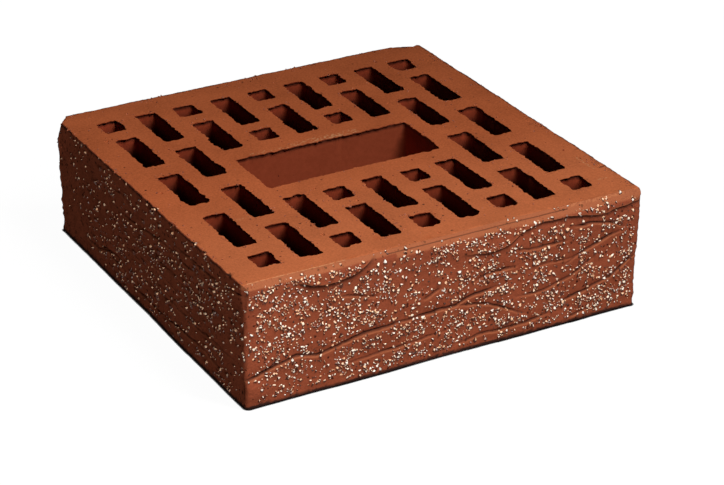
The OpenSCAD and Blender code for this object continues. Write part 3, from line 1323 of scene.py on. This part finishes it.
def set_layer(mesh, name, values):
    """Gives each point of a mesh a value."""
    layer = mesh.attributes.new(name, "FLOAT", "POINT")
    layer.data.foreach_set("value", values.astype(np.float32))


# Shade and cover of the surface


def edge_gap(places):
    """Distance in mm from points to the nearest side face."""
    return np.minimum(LENGTH / 2 - np.abs(places[:, 0]), WIDTH / 2 - np.abs(places[:, 1]))


def on_left(places):
    """How much points belong to the left face, from 0 to 1."""
    outer, inner = LEFT_REACH
    return ease(-places[:, 0], LENGTH / 2 - outer, LENGTH / 2 - inner)


def hole_boxes():
    """Middle and half sizes of each hole in plan, in mm."""
    lines = bed_outlines(HEIGHT)[1:]
    return [((line.max(axis=0) + line.min(axis=0)) / 2, np.ptp(line, axis=0) / 2) for line in lines]


def fold_marks(mesh):
    """How deep in a crevice each point lies, as painted shade, and how strong the painted highlight on a
    fold's lip is there, from 0 to 1.
    """
    places = mesh_points(mesh)
    deepest = np.zeros(len(places))
    wear_and_lip_highlight = np.zeros(len(places))
    for face, (out, _) in FACES.items():
        gap = (HIGH - LOW)[:2] @ np.abs(out) / 2 - places[:, :2] @ np.array(out, float)
        near = gap < FOLD_SIDE
        u = face_place(face, places[near, :2])
        _, dark, lit_lip = fold_relief(face_folds(face), u, places[near, 2], FOLD_SEEDS[face])
        deepest[near] = np.maximum(deepest[near], dark)
        wear_and_lip_highlight[near] = np.maximum(wear_and_lip_highlight[near], lit_lip)
    return deepest, wear_and_lip_highlight


def clay_shade(mesh, crevice):
    """How dark the clay is at each point, from 0 to 1: in the crevices, along the foot and under the rims."""
    places = mesh_points(mesh)
    plan = places[:, :2]
    from_front = places[:, 1] - FRONT
    depth = HEIGHT - places[:, 2]
    outside = edge_gap(places) < SHADED_SIDE
    foot = outside * ease(places[:, 2], *FOOT_LINE)
    behind = HIGH[1] + standing_out("back", face_place("back", plan), HEIGHT) - places[:, 1]
    beside = HIGH[0] + standing_out("right", face_place("right", plan), HEIGHT) - places[:, 0]
    rim = np.minimum(behind, beside) < RIM_LINE
    brow = outside * (from_front > OFF_FRONT) * ease(depth, *BROW_REACH) * ((depth > BROW_TOP) | rim)
    brow = brow * ease(lumps(places, BROW_LUMPS), *BROW_BREAKS)
    shade = np.maximum(CREVICE_SHADE * crevice, np.maximum(foot, BROW_SHADE * brow))
    turned = ease(mesh_normals(mesh)[:, 0], *TURN_FACING) * ease(from_front, *TURN_REACH) * (depth > TURN_TOP)
    shade = np.maximum(shade, TURN_SHADE * turned)
    least, most = UNDER_LIP
    under_lip = (depth > least) & (depth < most)
    for middle, half in hole_boxes():
        off = plan - middle
        here = (np.abs(off) < half + UNDER_LIP_REACH).all(axis=1) & under_lip
        far = off[here, 1] > half[1] - FAR_RIM
        shade[here] = np.where(far, FAR_RIM_SHADE, RIM_SHADE)
    return shade


def grit_density(mesh, crevice):
    """How thick the grit lies at each point, from 0 to 1: clustered on the sides, none on the beds."""
    places = mesh_points(mesh)
    x, y, z = places.T
    depth = HEIGHT - z
    outside = ease(edge_gap(places), *GRIT_SIDE)
    upright = 1 - ease(mesh_normals(mesh)[:, 2], *GRIT_UPRIGHT)
    cluster = CLUSTER_MIDDLE + lumps(places, CLUSTER_LUMPS)
    thick = CLUSTER_LEAST + (1 - CLUSTER_LEAST) * ease(cluster, *CLUSTER_RANGE)
    bare_left = 1 - on_left(places) * (LEFT_BARE + LEFT_BACK_BARE * ease(y, *LEFT_BACK))
    front = ease(y - FRONT, *GRIT_FRONT)
    drop = band_reach(x, GRIT_BAND)
    band = front * ease(depth, drop + GRIT_BAND_EDGE[0], drop + GRIT_BAND_EDGE[1])
    below = np.maximum(front, ease(depth, *GRIT_TOP)) * (1 - GRIT_BAND_BARE * band) * ease(z, *GRIT_FOOT)
    corner = 1 - ease(x, LENGTH / 2 - GRIT_CORNER_WIDTH, LENGTH / 2) * ease(y - FRONT, *GRIT_CORNER)
    ledge = front * ease(x, *LEDGE_ALONG) * ease(z, *LEDGE_UPPER) * ease(z, *LEDGE_LOWER)
    open_clay = (1 - LEDGE_BARE * ledge) * (1 - crevice ** CREVICE_CLEARANCE)
    density = outside * upright * thick * bare_left * below * corner * open_clay
    for back, reach in EDGE_KNOTS:
        knot = np.array([LOW[0], HIGH[1] - back, HEIGHT - KNOT_DEPTH])
        gap = np.linalg.norm(places - knot, axis=1)
        density = np.maximum(density, ease(gap, reach, 0.5 * reach))
    return density


def left_warmth(mesh):
    """How much warmer the grit's tones are at each point: on the left face only."""
    places = mesh_points(mesh)
    return LEFT_WARMTH * on_left(places) * (places[:, 1] > FRONT + LEFT_FRONT)


def crumb_density(mesh):
    """How thick loose crumbs lie at each point, from 0 to 1: round rims and along the worn upper edges."""
    places = mesh_points(mesh)
    up = ease(mesh_normals(mesh)[:, 2], *CRUMB_UP) * (places[:, 2] > HEIGHT - CRUMB_DEPTH)
    rim = np.zeros(len(places))
    for middle, half in hole_boxes():
        rim[(np.abs(places[:, :2] - middle) < half + CRUMB_RIM).all(axis=1)] = 1.0
    edge = ease(edge_gap(places), *CRUMB_EDGE) * (places[:, 1] > FRONT + CRUMB_FRONT)
    patchy = ease(lumps(places, CRUMB_PATCHES), *CRUMB_RANGE)
    return up * (CRUMB_LEAST + (1 - CRUMB_LEAST) * np.maximum(rim, edge) * patchy)


# Stage


def add_floor():
    """Plain pale floor, white to the camera, that keeps the brick's shadow."""
    mesh = bpy.data.meshes.new("floor")
    corners = [(x * FLOOR_REACH, y * FLOOR_REACH, 0) for x, y in ((-1, -1), (1, -1), (1, 1), (-1, 1))]
    mesh.from_pydata(corners, [], [(0, 1, 2, 3)])
    floor = bpy.data.objects.new("floor", mesh)
    bpy.context.scene.collection.objects.link(floor)
    material, tree = new_material("pale_floor")
    seen = seen_rays(tree)
    # Painted contact shade: ambient occlusion darkens the floor where it meets the brick
    reach = {"Distance": CONTACT_REACH * MM}
    contact = wire(tree, "ShaderNodeAmbientOcclusion", reach, samples=CONTACT_SAMPLES)
    open_air = sums(tree, "POWER", contact.outputs["AO"], CONTACT_POWER)
    shown = mix(tree, open_air, (0, 0, 0), FLOOR_SHOWN)
    matte = wire(tree, "ShaderNodeBsdfDiffuse", {"Color": mix(tree, seen, FLOOR_BOUNCE, shown)})
    away = wire(tree, "ShaderNodeVectorMath", {0: object_place(tree)}, operation="LENGTH").outputs["Value"]
    level = wire(tree, "ShaderNodeMapRange", {"Value": away, **FLOOR_WHITE}, interpolation_type="SMOOTHSTEP")
    white = sums(tree, "MULTIPLY", level.outputs[0], open_air)
    level = wire(tree, "ShaderNodeMapRange", {"Value": seen, "To Min": FLOOR_GLOW, "To Max": white})
    glow = wire(tree, "ShaderNodeEmission", {"Strength": level.outputs[0]})
    both = wire(tree, "ShaderNodeAddShader", {0: matte.outputs[0], 1: glow.outputs[0]})
    wire(tree, "ShaderNodeOutputMaterial", {"Surface": both.outputs[0]})
    mesh.materials.append(material)


def add_world(strength):
    """Dim even light all round, white where the camera sees it."""
    world = bpy.data.worlds.new("studio")
    world.use_nodes = True
    tree = world.node_tree
    tree.nodes.clear()
    level = wire(tree, "ShaderNodeMapRange", {"Value": seen_rays(tree), "To Min": strength, "To Max": 1.0})
    sky = wire(tree, "ShaderNodeBackground", {"Color": (1, 1, 1, 1), "Strength": level.outputs[0]})
    wire(tree, "ShaderNodeOutputWorld", {"Surface": sky.outputs[0]})
    bpy.context.scene.world = world


def add_lamp(name, place, aim, width, height, power):
    """Soft lamp at a place, turned towards its aim. Lengths are in mm."""
    lamp = bpy.data.lights.new(name, "AREA")
    lamp.shape = "RECTANGLE"
    lamp.size = width * MM
    lamp.size_y = height * MM
    lamp.energy = power
    piece = bpy.data.objects.new(name, lamp)
    piece.location = Vector(place) * MM
    piece.rotation_mode = "QUATERNION"
    piece.rotation_quaternion = (Vector(place) - Vector(aim)).to_track_quat("Z", "Y")
    bpy.context.scene.collection.objects.link(piece)


def add_camera():
    """Camera at the photo's viewing angle."""
    data = bpy.data.cameras.new("camera")
    data.sensor_width = SENSOR_MM
    data.sensor_fit = "HORIZONTAL"
    data.lens = FOCAL_PX / PHOTO_WIDTH_PX * SENSOR_MM
    data.clip_start = NEAREST_SEEN * MM
    camera = bpy.data.objects.new("camera", data)
    bpy.context.scene.collection.objects.link(camera)
    azimuth, elevation, roll = (math.radians(a) for a in (VIEW_AZIMUTH, VIEW_ELEVATION, VIEW_ROLL))
    level = math.cos(elevation)
    back = Vector((math.sin(azimuth) * level, -math.cos(azimuth) * level, math.sin(elevation)))
    right = Vector((math.cos(azimuth), math.sin(azimuth), 0))
    up = back.cross(right)
    side = right * math.cos(roll) + up * math.sin(roll)
    top = up * math.cos(roll) - right * math.sin(roll)
    aim = Vector((*VIEW_AIM, HEIGHT)) * MM
    turn = Matrix((side, top, back)).transposed()
    camera.matrix_world = Matrix.Translation(aim + back * VIEW_DISTANCE * MM) @ turn.to_4x4()
    bpy.context.scene.camera = camera


# Making the scene

groups = {"clay": clay_group(), "box": soft_box_group()}
finishes = [clay_material(name, groups, **values) for name, values in CLAYS.items()]

brick_mesh = build_brick(finishes)
brick_mesh.shade_smooth()
brick_mesh.set_sharp_from_angle(angle=math.radians(SHARP_ANGLE))
crevice, wear_and_lip_highlight = fold_marks(brick_mesh)
set_layer(brick_mesh, "shade", clay_shade(brick_mesh, crevice))
# Painted highlight on the folds' lips
set_layer(brick_mesh, "lip_highlight", LIP_HIGHLIGHT_STRENGTH * wear_and_lip_highlight)
brick = bpy.data.objects.new("brick_body", brick_mesh)
bpy.context.scene.collection.objects.link(brick)

pale_grit = stone_material("pale_grit", GRIT_TONES, CLOUDS)
# Dark stones that are painted shadows under the grains
painted_grain_shadows = stone_material("painted_grain_shadows", GRAIN_SHADOW_TONES, 0.0)
loose_clay = stone_material("loose_clay", CRUMB_TONES, CLOUDS)
shared = {"tree": scatter_tree(), "Stones": stone_collection()}
warmth = left_warmth(brick_mesh)
cover = grit_density(brick_mesh, crevice)
grit = scatter("grit_grains", brick_mesh, cover, warmth, Finish=pale_grit, **shared, **GRAINS)
# Painted shadows under the grains, at the same points as the grains
sockets = scatter("grit_sockets", brick_mesh, cover, warmth, Finish=painted_grain_shadows, **shared, **GRAIN_SHADOWS)
crumb_cover = crumb_density(brick_mesh)
crumbs = scatter("clay_crumbs", brick_mesh, crumb_cover, 0 * warmth, Finish=loose_clay, **shared, **CRUMBS)

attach(brick, "root")
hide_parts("brick")
for piece in (grit, sockets, crumbs):
    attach(piece, "root")

add_floor()
add_world(WORLD_LIGHT)
for name, values in LAMPS.items():
    add_lamp(name, **values)
add_camera()
bpy.context.scene.view_settings.view_transform = "Standard"
